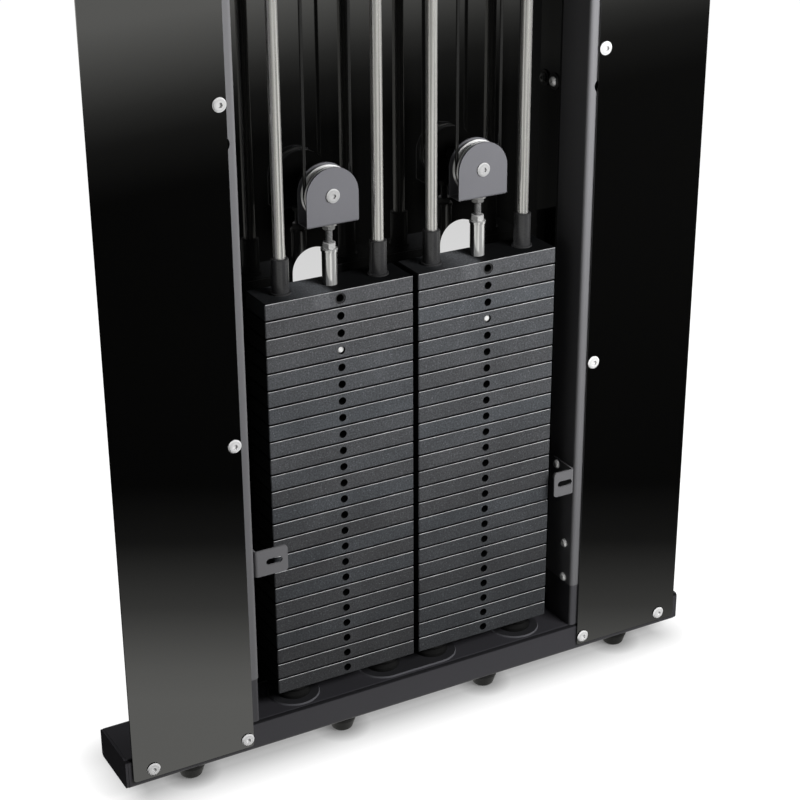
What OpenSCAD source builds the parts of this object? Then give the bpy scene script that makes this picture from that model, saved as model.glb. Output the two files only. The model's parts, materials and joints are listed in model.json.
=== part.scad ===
// Wall pulley tower with two selectorised weight stacks, seen with its rear middle cover off.
// X runs across the tower, Y from the open rear towards the user, Z up from the floor.

/* [Tower frame] */
// Width of the base and of the top beam
beam_w = 954; // [760:1:1100]
// Depth of the base, the top beam and the uprights
beam_d = 98; // [96:1:110]
// Height of the base and of the top beam
beam_h = 47.5; // [40:0.5:60]
// Wall of the frame's tubes
tube_t = 3; // [2:0.1:4]
// Radius along the edges of the frame's tubes
tube_r = 6; // [4.5:0.5:10]
// Clear height between the base and the top beam
inner_h = 1835; // [1500:1:2100]
// Width of an upright
upright_w = 50; // [46:1:70]
// Height of the short stub under an upright
stub_h = 71.5; // [55:1:90]
// How far a stub's faces stand back from the upright's
stub_inset = 1; // [0.3:0.1:2]
// Height of the spigot inside the stub and the upright
spigot_h = 165; // [160:1:240]
// Thickness of the end plates of the base and the top beam
end_plate_t = 4; // [2:0.5:8]

/* [Feet] */
// Height of a rubber foot
foot_h = 22; // [12:1:40]
// Diameter of a foot where it meets the base
foot_d = 42; // [30:1:44]
// Diameter of a foot on the floor
foot_tip_d = 32; // [24:1:36]
// Distance from the middle to the inner feet
foot_inner_x = 124; // [80:1:180]
// Distance from the ends of the base to the outer feet
foot_end_inset = 107; // [40:1:160]
// Distance from the base's long faces to a foot's centre
foot_inset = 24; // [22:1:30]

/* [Covers] */
// Thickness of the glossy sheets
sheet_t = 3; // [2:0.5:5]
// Distance of a side cover's outer edge from the end of the base
cover_side = 10; // [4:0.5:30]
// Width of the strip of upright left bare beside a cover
strip_w = 14; // [10:0.5:18]
// Height of a cover's lower edge above the underside of the base
cover_drop = 10.5; // [3:0.5:12]
// Radius of a cover's corners
cover_r = 5; // [2:0.5:15]
// Distance of a cover's end bolts from its short edges
bolt_margin = 14; // [12:0.5:20]
// Distance of a cover's bolts from its inner edge
bolt_inset = 9.8; // [9.5:0.1:14]
// Distance of a cover's corner bolts from its outer edge
bolt_outset = 30; // [16:1:60]
// Number of bolts along a cover's inner edge
bolt_rows = 5; // [3:1:7]
// Distance from the rear of the base to the user's shroud
shroud_setback = 92.5; // [91:0.5:94]
// Depth of the shroud's return flanges
shroud_flange = 25; // [22:1:28]
// Distance of the shroud's upper edge below the top pulleys' yokes
shroud_clear = 24; // [10:1:300]
// Width of the slots for the selector pins
slot_w = 67; // [50:1:80]
// How far a slot runs past the top of its stack
slot_over = 38; // [20:1:60]
// Diameter of the access holes that the covers half hide
cover_hole_d = 22; // [12:0.5:24]
// How far the middle of such a hole lies behind its cover
cover_hole_in = 7; // [2:0.5:8]
// Height of the lower access hole above the floor
cover_hole_z = 934; // [900:1:960]
// Distance between the access holes, and down to the slotted brackets
cover_hole_pitch = 609; // [560:1:640]

/* [Weight stacks] */
// Number of plates in a stack, with the top plate
plate_count = 24; // [14:1:26]
// Number of plates under the top plate that the pin lifts
lifted_count = 3; // [1:1:8]
// Width of a plate
plate_w = 226; // [214:1:228]
// Depth of a plate
plate_d = 62; // [58:1:64]
// Thickness of a plate
plate_t = 24; // [20:0.5:30]
// Gap between plates, which the bushings' flanges fill
plate_gap = 1.4; // [0.8:0.1:2.5]
// Bevel along a plate's edges
plate_bevel = 1.2; // [0.5:0.1:2]
// Gap between the two stacks
stack_gap = 8.6; // [5:0.2:24]
// Distance between the stacks and the uprights
stack_clear = 36.7; // [30:0.1:60]
// Distance from the rear of the base to the stacks
stack_setback = 15; // [12:0.5:16]
// Diameter of the pin holes
pin_hole_d = 11.5; // [10:0.1:13]
// Diameter of the selector stem in the stack
stem_d = 20; // [18:0.5:21]
// Diameter of the stem's head above the top plate
stem_head_d = 21.5; // [21:0.1:26]
// Height of the stem's head above the top plate
stem_head_h = 51.5; // [30:0.5:60]
// How far the collar at the head's top stands out
stem_collar = 1.2; // [0.5:0.1:3]
// Height of that collar
stem_collar_h = 4; // [2:0.5:8]
// Diameter of the stem's bores in the plates
stem_bore_d = 23; // [22.5:0.1:25]

/* [Guides] */
// Diameter of the guide rods
rod_d = 16; // [12:0.5:19]
// Distance between the two rods of a stack
rod_spacing = 150; // [130:1:170]
// Outer diameter of the plates' bushings
bushing_d = 21; // [20.5:0.1:23]
// Diameter of a bushing's flange
flange_d = 30; // [25:0.5:34]
// Outer diameter of the sleeves on the top plate
sleeve_d = 24.5; // [23.5:0.1:28]
// Diameter of the counterbore round the top plate's pin hole
top_bush_d = 16; // [14:0.5:20]
// Depth of that counterbore
top_bush_h = 4; // [2:0.5:6]
// Height of the sleeves above the top plate
sleeve_h = 50; // [30:1:70]
// Thickness of the rod seats on the base
seat_t = 2.5; // [1.5:0.1:5]
// Diameter of the rod seats
seat_d = 78; // [60:1:80]
// Height of the rubber bumpers
bumper_h = 20.4; // [14:0.1:30]
// Diameter of the rubber bumpers
bumper_d = 50; // [36:1:60]
// Diameter of the collars at the rods' tops
collar_d = 32; // [26:1:40]
// Height of those collars
collar_h = 14; // [8:1:20]

/* [Pulleys] */
// Diameter of a sheave
sheave_d = 76; // [60:1:76]
// Width of a sheave
sheave_w = 14; // [12:0.5:18]
// Depth of a sheave's groove
groove_depth = 6; // [4:0.5:8]
// Diameter of the coated cable
cable_d = 5; // [4:0.1:6]
// Width of a pulley's yoke
yoke_w = 78; // [76.5:0.5:90]
// Outer depth of a yoke
yoke_d = 28; // [26:0.5:34]
// Thickness of a yoke's plate
yoke_t = 2.5; // [2:0.5:3]
// Distance from a yoke's axle to its closed end
yoke_drop = 41.5; // [41.5:0.5:50]
// Radius of a yoke's corners at its closed end
yoke_corner_r = 3; // [1:0.5:8]
// Diameter of the pulleys' axles
axle_d = 10; // [8:0.5:12]
// Diameter of the axles' heads
axle_head_d = 20; // [16:0.5:24]
// Height of the axles' heads
axle_head_h = 3.5; // [3:0.5:7]
// Height of the axles' nuts
axle_nut_h = 7; // [5:0.5:9]
// Width across flats of the axles' nuts
axle_nut_af = 17; // [16:0.5:20]
// Width of a sheave's web
sheave_web = 6; // [4:0.5:10]
// Diameter of the screw between the stem's head and the yoke
hanger_d = 10; // [8:0.5:14]
// Length of that screw left bare between the stem's head and the yoke
hanger_gap = 35.5; // [30:0.5:60]
// Depth of that screw in the stem's head
hanger_depth = 20; // [14:1:30]
// Height of its jam nut on the stem's head
jam_nut_h = 8; // [6:0.5:12]
// Height of the hexagon of its nut under the yoke
nut_h = 6; // [5:0.5:10]
// Diameter of that nut's flange
nut_flange_d = 23; // [20:0.5:26]
// Thickness of that flange
nut_flange_t = 2.5; // [1.5:0.5:4]
// Width across flats of those nuts
nut_af = 17; // [16:0.5:24]
// Diameter of the studs that hold the cables' fixed ends
cable_stud_d = 10; // [8:0.5:12]
// Diameter of the ferrules on those ends
ferrule_d = 12; // [9:0.5:15]
// Length of cable between the top pulley and the stop ball at rest
user_cable = 71; // [60:1:120]
// Diameter of the stop ball
ball_d = 34; // [26:0.5:36]
// Length of the snap hook
hook_l = 62; // [50:1:90]
// Wire diameter of the snap hook
hook_wire_d = 7; // [5:0.5:9]

/* [Selector pins] */
// Diameter of a selector pin
pin_d = 10.8; // [9:0.1:11]
// Diameter of a pin's head
pin_head_d = 26; // [18:0.5:32]
// Thickness of a pin's head
pin_head_t = 10; // [6:0.5:12]
// How far a pin's tip stays inside the stack's rear face
pin_short = 2; // [0:0.5:10]

/* [Brackets and fasteners] */
// Diameter of the covers' bolt heads
bolt_head_d = 19.5; // [16:0.5:24]
// Height of those heads
bolt_head_h = 4; // [3:0.5:8]
// Diameter of the covers' bolts
bolt_d = 10; // [8:0.5:12]
// Diameter of the frame screws' heads
screw_head_d = 14; // [12:0.5:18]
// Diameter of the frame screws
screw_d = 8; // [6:0.5:10]
// Diameter of the washers under the shroud's screws
washer_d = 24; // [18:1:30]
// Thickness of those washers
washer_t = 2; // [1.5:0.5:3]
// Height of the slotted brackets
tab_h = 40; // [30:1:50]
// Width of the left bracket's face
tab_left_w = 51; // [48:0.5:56]
// Width of the right bracket's face
tab_right_w = 36; // [32:0.5:48]
// Distance from the left bracket's free edge to its slot's middle
tab_left_slot = 21; // [18:0.5:24]
// Distance from the right bracket's free edge to its slot's middle
tab_right_slot = 19; // [17:0.5:21]
// Radius of the brackets' free corners
tab_r = 5; // [1:0.5:8]
// Radius inside the brackets' bends
tab_bend_r = 2; // [1:0.5:5]
// Length of the brackets' slots
tab_slot_l = 25; // [15:0.5:26]
// Width of the brackets' slots
tab_slot_w = 10; // [8:0.5:12]
// Depth of the brackets' legs along the uprights
tab_leg = 54; // [50:1:62]
// Diameter of the holes for wall anchors in the top beam
wall_hole_d = 11; // [8:0.5:14]
// Distance between those holes
wall_hole_spacing = 420; // [380:1:480]

/* [Hidden] */

$fn = 48;
// Clearance between pieces that sit against each other without sliding
seat_gap = 0.3;
// Clearance of the bushings and sleeves on the rods
slide_gap = 0.3;
// Clearance of an axle or a fixed round part in its bore, all round
fit_gap = 0.1;
// Lengthening of a cut so that it clears both faces
cut = 1;
// Small chamfer or step on a turned part
lip = 1;
// Least wall left between a hole and an edge
land = 4;
// Least radius of a tube's inner corners
least_r = 0.5;
// Hex socket across flats, as a share of the screw's own diameter
socket_share = 0.62;
// How far the end plates stand back from the tube's faces
end_plate_inset = 0.5;
// Height of a foot's straight rim, and the bevel at its tip
foot_rim_h = 5;
foot_bevel = 2;
// Hole for the set screw in a rod's collar
set_screw_d = 5;
// How far a sleeve's foot stands out, and its height
sleeve_rim = 2.4;

// Heights
base_z = foot_h;
floor_z = base_z + beam_h;
top_z = floor_z + inner_h;
pitch = plate_t + plate_gap;
stack_z = floor_z + seat_t + bumper_h + plate_gap;
stack_top = stack_z + plate_count * pitch - plate_gap;
hole_top_z = stack_top - plate_t / 2;
pin_z = hole_top_z - lifted_count * pitch;
resting_last = plate_count - lifted_count - 2;
stem_low = hole_top_z - (plate_count - 1) * pitch - pin_hole_d / 2 - land;
head_z = stack_top + stem_head_h;
yoke_z = head_z + hanger_gap;
axle_z = yoke_z + yoke_drop;
top_axle_z = top_z - yoke_drop;

// Radii and widths on the pulleys
pitch_r = sheave_d / 2 - groove_depth + cable_d / 2;
cable_r = cable_d / 2;
seat_top_d = seat_d - seat_t;
spacer_w = yoke_d / 2 - yoke_t - sheave_w / 2 - 2 * seat_gap;
yoke_bend_r = yoke_t + 1.5;

// Places front to back
user_reach = stack_setback + plate_d / 2 + 2 * pitch_r + ball_d / 2;
rear_y = (bolt_head_h + sheet_t - user_reach) / 2;
front_y = rear_y + beam_d;
mid_y = rear_y + beam_d / 2;
stack_y = rear_y + stack_setback + plate_d / 2;
top_sheave_y = stack_y + pitch_r;
user_y = stack_y + 2 * pitch_r;
shroud_y = rear_y + shroud_setback;

// Snap hook: its eye and bends as shares of its wire, its gate as a share of the straight and the wire
hook_eye_share = 1.7;
hook_bend_share = 1.3;
gate_share = 0.7;

// User's end of the cable
ball_z = top_axle_z - user_cable - ball_d / 2;
eye_d = hook_wire_d * hook_eye_share;
eye_z = ball_z - ball_d / 2 - eye_d / 2;
hook_bend_r = hook_wire_d * hook_bend_share;
hook_straight = hook_l - 2 * hook_bend_r - hook_wire_d;

// Places across the tower
stack_spacing = plate_w + stack_gap;
opening_w = stack_spacing + plate_w + 2 * stack_clear;
wall_x = opening_w / 2;
upright_x = wall_x + upright_w / 2;
cover_x = wall_x + strip_w;
cover_w = beam_w / 2 - cover_side - cover_x;
foot_outer_x = beam_w / 2 - foot_end_inset;
live_x = stack_spacing / 2 + pitch_r;
dead_x = stack_spacing / 2 - pitch_r;

// Covers, their bolts and the brackets
cover_z = base_z + cover_drop;
cover_h = top_z + beam_h - cover_drop - cover_z;
bolt_x = cover_x + bolt_inset;
corner_bolt_x = cover_x + cover_w - bolt_outset;
bolt_z0 = cover_z + bolt_margin;
bolt_pitch = (cover_h - 2 * bolt_margin) / (bolt_rows - 1);
bracket_z = cover_hole_z - cover_hole_pitch;
shroud_z = floor_z + seat_gap;
shroud_h = top_axle_z - yoke_w / 2 - shroud_clear - shroud_z;
// Length of the bolts and screws behind their heads' seats
bolt_grip = 18;
screw_grip = 12;

// Screws through the uprights' inner walls: two at each splice, two at each bracket, three up the shroud
splice_setback = 20;
splice_low = 8.5;
splice_high = 68;
splice_y = rear_y + splice_setback;
splice_zs = [floor_z + stub_h + splice_low, floor_z + stub_h + splice_high];
bracket_screw_setback = 43;
bracket_screw_pitch = 22;
bracket_screw_y = rear_y + bracket_screw_setback;
bracket_screw_zs = [bracket_z - bracket_screw_pitch / 2, bracket_z + bracket_screw_pitch / 2];
shroud_screw_low = 155.5;
shroud_screw_high = 175;
shroud_screw_y = shroud_y - shroud_flange / 2;
shroud_screw_z0 = shroud_z + shroud_screw_low;
shroud_screw_z1 = shroud_z + shroud_h - shroud_screw_high;
shroud_screw_zs = [shroud_screw_z0, (shroud_screw_z0 + shroud_screw_z1) / 2, shroud_screw_z1];

// Outlines
module round_rect(w, h, r) {
    square([w - 2 * r, h], center = true);
    square([w, h - 2 * r], center = true);
    for (x = [-1, 1], y = [-1, 1])
        translate([x * (w / 2 - r), y * (h / 2 - r)]) circle(r);
}

module tube_outline(w, h, r, t) {
    difference() {
        round_rect(w, h, r);
        round_rect(w - 2 * t, h - 2 * t, max(r - t, least_r));
    }
}

module bevel_rect(w, h, c) {
    polygon([[-w / 2 + c, -h / 2], [w / 2 - c, -h / 2], [w / 2, -h / 2 + c], [w / 2, h / 2 - c],
        [w / 2 - c, h / 2], [-w / 2 + c, h / 2], [-w / 2, h / 2 - c], [-w / 2, -h / 2 + c]]);
}

module along_x(l) {
    rotate([90, 0, 90]) linear_extrude(l, center = true) children();
}

module along_y(l) {
    rotate([90, 0, 0]) linear_extrude(l, center = true) children();
}

module both_sides() {
    for (side = [-1, 1]) translate([side * stack_spacing / 2, stack_y, 0]) children();
}

module rod_places() {
    for (x = [-1, 1]) translate([x * rod_spacing / 2, 0, 0]) children();
}

// Frame
module beam_tube() {
    along_x(beam_w - 2 * end_plate_t) tube_outline(beam_d, beam_h, tube_r, tube_t);
}

module cover_bolt_places() {
    for (x = [-1, 1]) {
        for (row = [0 : bolt_rows - 1])
            translate([x * bolt_x, rear_y, bolt_z0 + row * bolt_pitch])
                rotate([90, 0, 0]) children();
        for (row = [0, bolt_rows - 1])
            translate([x * corner_bolt_x, rear_y, bolt_z0 + row * bolt_pitch])
                rotate([90, 0, 0]) children();
    }
}

module cover_bolt_holes() {
    cover_bolt_places() translate([0, 0, -tube_t - cut])
        cylinder(d = bolt_d, h = tube_t + sheet_t + 2 * cut);
}

module rod_holes(z, h) {
    both_sides() rod_places() translate([0, 0, z]) cylinder(d = rod_d + 2 * fit_gap, h = h);
}

module base_beam() {
    color([0.2, 0.2, 0.21]) difference() {
        translate([0, mid_y, base_z + beam_h / 2]) beam_tube();
        rod_holes(floor_z - tube_t - cut, tube_t + 2 * cut);
        cover_bolt_holes();
    }
}

module top_beam() {
    color([0.2, 0.2, 0.21]) difference() {
        translate([0, mid_y, top_z + beam_h / 2]) beam_tube();
        rod_holes(top_z - cut, tube_t + 2 * cut);
        cover_bolt_holes();
        for (x = [-1, 1]) {
            translate([x * wall_hole_spacing / 2, mid_y, top_z + beam_h / 2])
                rotate([90, 0, 0]) cylinder(d = wall_hole_d, h = beam_d + 2 * cut, center = true);
            translate([x * dead_x, stack_y, top_z - cut])
                cylinder(d = cable_stud_d + 2 * fit_gap, h = tube_t + 2 * cut);
        }
    }
}

module end_plates() {
    color([0.13, 0.13, 0.14]) for (x = [-1, 1], z = [base_z, top_z])
        translate([x * (beam_w - end_plate_t) / 2, mid_y, z + beam_h / 2])
            along_x(end_plate_t) round_rect(beam_d - 2 * end_plate_inset,
                beam_h - 2 * end_plate_inset, tube_r - end_plate_inset);
}

module feet() {
    color([0.06, 0.06, 0.06]) for (x = [-foot_outer_x, -foot_inner_x, foot_inner_x, foot_outer_x],
            y = [rear_y + foot_inset, front_y - foot_inset])
        translate([x, y, 0]) rotate_extrude() polygon([[0, 0], [foot_tip_d / 2 - foot_bevel, 0],
            [foot_tip_d / 2, foot_bevel], [foot_d / 2, foot_h - foot_rim_h],
            [foot_d / 2, foot_h], [0, foot_h]]);
}

module upright_tube(h, inset) {
    linear_extrude(h)
        tube_outline(upright_w - 2 * inset, beam_d - 2 * inset, tube_r - inset, tube_t - inset);
}

module upright_stubs() {
    color([0.21, 0.21, 0.23]) for (x = [-1, 1]) translate([x * upright_x, mid_y, floor_z])
        upright_tube(stub_h, stub_inset);
}

module frame_screw_places() {
    for (x = [-1, 1]) {
        for (z = splice_zs) translate([x * wall_x, splice_y, z]) rotate([0, -x * 90, 0]) children();
        for (z = bracket_screw_zs)
            translate([x * (wall_x - seat_gap - sheet_t), bracket_screw_y, z])
                rotate([0, -x * 90, 0]) children();
        for (z = shroud_screw_zs)
            translate([x * (wall_x - seat_gap - sheet_t - washer_t), shroud_screw_y, z])
                rotate([0, -x * 90, 0]) children();
    }
}

module frame_screw_holes(extra) {
    frame_screw_places() translate([0, 0, -screw_grip - cut])
        cylinder(d = screw_d + 2 * extra, h = screw_grip + 2 * cut);
}

module uprights() {
    color([0.37, 0.37, 0.38]) difference() {
        for (x = [-1, 1]) translate([x * upright_x, mid_y, floor_z + stub_h])
            upright_tube(inner_h - stub_h, 0);
        cover_bolt_holes();
        frame_screw_holes(0);
        for (x = [-1, 1], row = [0, 1])
            translate([x * (cover_x + cover_hole_in), rear_y - cut, cover_hole_z + row * cover_hole_pitch])
                rotate([-90, 0, 0]) cylinder(d = cover_hole_d, h = tube_t + 2 * cut);
    }
}

module spigots() {
    inner_w = upright_w - 2 * tube_t - 2 * seat_gap;
    inner_d = beam_d - 2 * tube_t - 2 * seat_gap;
    color([0.2, 0.2, 0.2]) difference() {
        for (x = [-1, 1]) translate([x * upright_x, mid_y, floor_z])
            linear_extrude(spigot_h) tube_outline(inner_w, inner_d, max(tube_r - tube_t, least_r), tube_t);
        frame_screw_holes(0);
    }
}

// Covers
module cover_sheet() {
    color([0.1, 0.1, 0.1]) difference() {
        translate([cover_x + cover_w / 2, rear_y - sheet_t / 2, cover_z + cover_h / 2])
            along_y(sheet_t) round_rect(cover_w, cover_h, cover_r);
        cover_bolt_holes();
    }
}

module right_cover() {
    cover_sheet();
}

module left_cover() {
    mirror([1, 0, 0]) cover_sheet();
}

// A flanged button screw, its head on z = 0; the shares set the rim, the shoulder and the crown
module button_screw(d, head_d, head_h, grip) {
    r = head_d / 2;
    rim = 0.35 * head_h;
    shoulder = 0.85 * head_h;
    difference() {
        union() {
            rotate_extrude() polygon([[0, 0], [r, 0], [r, rim], [r - shoulder / 2, shoulder],
                [r - head_h, head_h], [0, head_h]]);
            translate([0, 0, -grip]) cylinder(d = d - 2 * fit_gap, h = grip);
        }
        translate([0, 0, rim]) cylinder(d = d * socket_share / cos(30), h = head_h, $fn = 6);
    }
}

module cover_bolts() {
    color([0.85, 0.85, 0.86]) cover_bolt_places() translate([0, 0, sheet_t])
        button_screw(bolt_d, bolt_head_d, bolt_head_h, bolt_grip);
}

module user_shroud() {
    w = opening_w - 2 * seat_gap;
    color([0.1, 0.1, 0.1]) difference() {
        translate([0, shroud_y, shroud_z]) linear_extrude(shroud_h) {
            translate([-w / 2, 0]) square([w, sheet_t]);
            for (x = [-1, 1]) translate([x * (w - sheet_t) / 2 - sheet_t / 2, -shroud_flange])
                square([sheet_t, shroud_flange + sheet_t]);
        }
        for (x = [-1, 1]) translate([x * stack_spacing / 2, shroud_y - cut, 0]) shroud_slot();
        frame_screw_holes(fit_gap);
    }
}

module shroud_slot() {
    low = stack_z + slot_w / 2;
    high = stack_top + slot_over - slot_w / 2;
    rotate([-90, 0, 0]) linear_extrude(sheet_t + 2 * cut) {
        translate([-slot_w / 2, -high]) square([slot_w, high - low]);
        translate([0, -low]) circle(d = slot_w);
        translate([0, -high]) circle(d = slot_w);
    }
}

module frame_screws() {
    color([0.85, 0.85, 0.86]) frame_screw_places()
        button_screw(screw_d, screw_head_d, screw_head_d * 0.35, screw_grip);
}

module shroud_washers() {
    color([0.1, 0.1, 0.1]) for (x = [-1, 1], z = shroud_screw_zs)
        translate([x * (wall_x - seat_gap - sheet_t), shroud_screw_y, z]) rotate([0, -x * 90, 0])
            difference() {
                cylinder(d = washer_d, h = washer_t);
                translate([0, 0, -cut]) cylinder(d = screw_d + 2 * fit_gap, h = washer_t + 2 * cut);
            }
}

// An L-shaped bracket whose slotted face is flush with the uprights' rear faces
module bracket_section(w, edge) {
    bend = tab_bend_r + sheet_t;
    translate([edge - w, rear_y]) square([w - bend, sheet_t]);
    translate([edge - sheet_t, rear_y + bend]) square([sheet_t, tab_leg - bend]);
    intersection() {
        translate([edge - bend, rear_y + bend]) difference() {
            circle(bend);
            circle(tab_bend_r);
        }
        translate([edge - bend, rear_y]) square(bend);
    }
}

module bracket_outline(w) {
    translate([tab_r, -tab_h / 2]) square([w + cut - tab_r, tab_h]);
    translate([0, tab_r - tab_h / 2]) square([tab_r, tab_h - 2 * tab_r]);
    for (z = [-1, 1]) translate([tab_r, z * (tab_h / 2 - tab_r)]) circle(tab_r);
}

module slotted_bracket(w, slot_in) {
    edge = wall_x - seat_gap;
    difference() {
        intersection() {
            translate([0, 0, bracket_z - tab_h / 2]) linear_extrude(tab_h) bracket_section(w, edge);
            translate([edge - w, mid_y, bracket_z]) along_y(beam_d + 2 * cut) bracket_outline(w);
        }
        translate([edge - w + slot_in, rear_y - cut, bracket_z]) rotate([-90, 0, 0])
            linear_extrude(sheet_t + 2 * cut) {
                square([tab_slot_l - tab_slot_w, tab_slot_w], center = true);
                for (x = [-1, 1]) translate([x * (tab_slot_l - tab_slot_w) / 2, 0]) circle(d = tab_slot_w);
            }
        frame_screw_holes(fit_gap);
    }
}

module slotted_brackets() {
    color([0.38, 0.38, 0.4]) {
        slotted_bracket(tab_right_w, tab_right_slot);
        mirror([1, 0, 0]) slotted_bracket(tab_left_w, tab_left_slot);
    }
}

// Guides
module rod_seats() {
    inner_rods = stack_spacing - rod_spacing;
    color([0.12, 0.12, 0.13]) translate([0, stack_y, floor_z]) difference() {
        union() {
            for (x = [-1, 1]) translate([x * (stack_spacing + rod_spacing) / 2, 0, 0]) seat_disc();
            for (x = [-1, 1]) translate([x * inner_rods / 2, 0, 0]) seat_disc();
            along_x(inner_rods) polygon([[-seat_d / 2, 0], [seat_d / 2, 0], [seat_top_d / 2, seat_t],
                [-seat_top_d / 2, seat_t]]);
        }
        for (side = [-1, 1]) translate([side * stack_spacing / 2, 0, -cut])
            rod_places() cylinder(d = rod_d + 2 * fit_gap, h = seat_t + 2 * cut);
    }
}

module seat_disc() {
    cylinder(d1 = seat_d, d2 = seat_top_d, h = seat_t);
}

// Rubber bumpers with a waist at half their height
module bumpers() {
    bore = rod_d / 2 + slide_gap;
    r = bumper_d / 2;
    neck = bumper_h / 4;
    color([0.05, 0.05, 0.05]) both_sides() rod_places() translate([0, 0, floor_z + seat_t])
        rotate_extrude() polygon([[bore, 0], [r, 0], [r, neck], [r - land, 2 * neck], [r - lip, 3 * neck],
            [r - lip, bumper_h - lip], [r - 2 * lip, bumper_h], [bore, bumper_h]]);
}

module guide_rods() {
    color([0.8, 0.8, 0.8]) both_sides() rod_places() translate([0, 0, base_z + tube_t])
        cylinder(d = rod_d, h = top_z + beam_h / 2 - base_z - tube_t);
}

module rod_collars() {
    color([0.7, 0.7, 0.7]) both_sides() rod_places() translate([0, 0, top_z - collar_h]) difference() {
        cylinder(d = collar_d, h = collar_h);
        translate([0, 0, -cut]) cylinder(d = rod_d + 2 * fit_gap, h = collar_h + 2 * cut);
        translate([0, 0, collar_h / 2]) rotate([90, 0, 0]) cylinder(d = set_screw_d, h = collar_d);
    }
}

module bushing() {
    difference() {
        union() {
            cylinder(d = flange_d, h = plate_gap);
            cylinder(d = bushing_d, h = pitch - lip);
        }
        translate([0, 0, -cut]) cylinder(d = rod_d + 2 * slide_gap, h = pitch + 2 * cut);
    }
}

module bushing_pairs(first, last) {
    for (i = [first : last]) translate([0, 0, stack_z + i * pitch - plate_gap]) rod_places() bushing();
}

// Weight plates, numbered from the bottom
module plate_blank() {
    translate([0, 0, plate_t / 2]) intersection() {
        along_x(plate_w) bevel_rect(plate_d, plate_t, plate_bevel);
        along_y(plate_d) bevel_rect(plate_w, plate_t, plate_bevel);
        linear_extrude(plate_t, center = true) bevel_rect(plate_w, plate_d, plate_bevel);
    }
}

module plate(bore) {
    difference() {
        plate_blank();
        translate([0, 0, -cut]) {
            cylinder(d = bore, h = plate_t + 2 * cut);
            rod_places() cylinder(d = bushing_d + 2 * fit_gap, h = plate_t + 2 * cut);
        }
        translate([0, 0, plate_t / 2]) rotate([90, 0, 0])
            cylinder(d = pin_hole_d, h = plate_d + 2 * cut, center = true);
    }
}

module plate_run(first, last) {
    color([0.25, 0.25, 0.26]) for (i = [first : last]) translate([0, 0, stack_z + i * pitch])
        plate(stem_bore_d);
}

module at_stack(side) {
    translate([side * stack_spacing / 2, stack_y, 0]) children();
}

module left_resting_plates() {
    at_stack(-1) plate_run(0, resting_last);
}

module right_resting_plates() {
    at_stack(1) plate_run(0, resting_last);
}

module left_lifted_plates() {
    at_stack(-1) plate_run(resting_last + 1, plate_count - 2);
}

module right_lifted_plates() {
    at_stack(1) plate_run(resting_last + 1, plate_count - 2);
}

module resting_bushings() {
    color([0.1, 0.1, 0.1]) both_sides() bushing_pairs(0, resting_last);
}

module left_lifted_bushings() {
    color([0.1, 0.1, 0.1]) at_stack(-1) bushing_pairs(resting_last + 1, plate_count - 2);
}

module right_lifted_bushings() {
    color([0.1, 0.1, 0.1]) at_stack(1) bushing_pairs(resting_last + 1, plate_count - 2);
}

module top_plate() {
    color([0.25, 0.25, 0.26]) difference() {
        translate([0, 0, stack_top - plate_t]) plate(stem_d + 2 * fit_gap);
        translate([0, -plate_d / 2 - cut, hole_top_z]) rotate([-90, 0, 0])
            cylinder(d = top_bush_d, h = top_bush_h + cut);
    }
}

module left_top_plate() {
    at_stack(-1) top_plate();
}

module right_top_plate() {
    at_stack(1) top_plate();
}

module guide_sleeves() {
    color([0.12, 0.12, 0.12]) {
        rod_places() difference() {
            union() {
                translate([0, 0, stack_top - pitch]) cylinder(d = bushing_d, h = pitch);
                translate([0, 0, stack_top - pitch]) cylinder(d = flange_d, h = plate_gap);
                translate([0, 0, stack_top]) cylinder(d = sleeve_d + 2 * sleeve_rim, h = sleeve_rim);
                translate([0, 0, stack_top]) cylinder(d = sleeve_d, h = sleeve_h - lip);
                translate([0, 0, stack_top + sleeve_h - lip])
                    cylinder(d1 = sleeve_d, d2 = sleeve_d - 2 * lip, h = lip);
            }
            translate([0, 0, stack_top - pitch - cut])
                cylinder(d = rod_d + 2 * slide_gap, h = pitch + sleeve_h + 2 * cut);
        }
        translate([0, -plate_d / 2 + top_bush_h, hole_top_z]) rotate([90, 0, 0]) difference() {
            cylinder(d = top_bush_d - 2 * fit_gap, h = top_bush_h - lip);
            translate([0, 0, -cut]) cylinder(d = pin_hole_d, h = top_bush_h + 2 * cut);
        }
    }
}

module left_guide_sleeves() {
    at_stack(-1) guide_sleeves();
}

module right_guide_sleeves() {
    at_stack(1) guide_sleeves();
}

// Selector stem, with one cross hole to each plate and a tapped head above the top plate
module selector_stem() {
    collar_top = stem_head_d + 2 * stem_collar;
    color([0.8, 0.8, 0.8]) difference() {
        union() {
            translate([0, 0, stem_low]) cylinder(d = stem_d, h = stack_top - stem_low);
            translate([0, 0, stack_top]) cylinder(d = stem_head_d, h = stem_head_h - lip);
            translate([0, 0, head_z - stem_collar_h]) cylinder(d = collar_top, h = stem_collar_h - lip);
            translate([0, 0, head_z - lip]) cylinder(d1 = collar_top, d2 = collar_top - 2 * lip, h = lip);
        }
        for (i = [0 : plate_count - 1]) translate([0, 0, hole_top_z - i * pitch])
            rotate([90, 0, 0]) cylinder(d = pin_hole_d, h = stem_head_d + 2 * cut, center = true);
        translate([0, 0, head_z - hanger_depth]) cylinder(d = hanger_d + 2 * fit_gap, h = hanger_depth + cut);
    }
}

module left_selector_stem() {
    at_stack(-1) selector_stem();
}

module right_selector_stem() {
    at_stack(1) selector_stem();
}

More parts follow.
